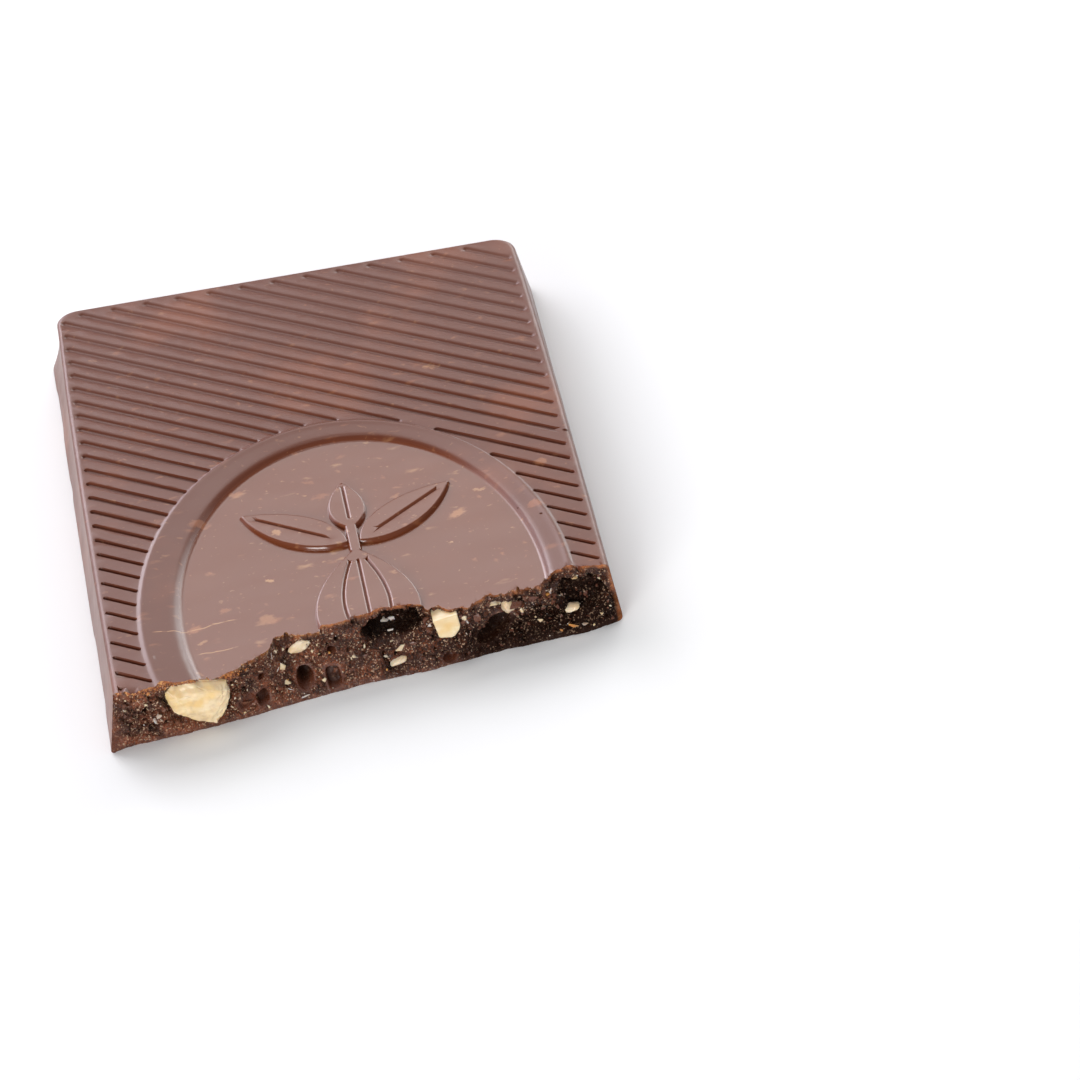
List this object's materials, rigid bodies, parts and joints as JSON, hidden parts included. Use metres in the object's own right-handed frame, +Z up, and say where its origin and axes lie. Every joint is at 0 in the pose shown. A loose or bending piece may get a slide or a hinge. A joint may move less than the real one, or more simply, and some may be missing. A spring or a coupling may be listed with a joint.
{
  "type": "chocolate bar half",
  "caption": "Snapped half of a moulded milk chocolate bar with nut pieces, slanting pressed lines, an oval medallion and a rough broken face.",
  "frame": {"origin": "middle of the bounding box, on the underside", "axes": "+Z up out of the moulded face, +Y along the bar's length towards its moulded end, -Y out of the broken face, +X to the right seen from the broken end"},
  "size_m": [0.0652, 0.092, 0.0084],
  "materials": {
    "chocolate": "satin milk chocolate with fine nut flecks, rough where it is broken",
    "nut": "cut hazelnut, cream coloured and slightly waxy"
  },
  "bodies": {
    "root": {"chocolate_half": "chocolate", "nut_large": "nut", "nut_cube": "nut", "nut_long": "nut", "nut_rim": "nut", "nut_right": "nut", "nut_low": "nut"}
  },
  "joints": []
}
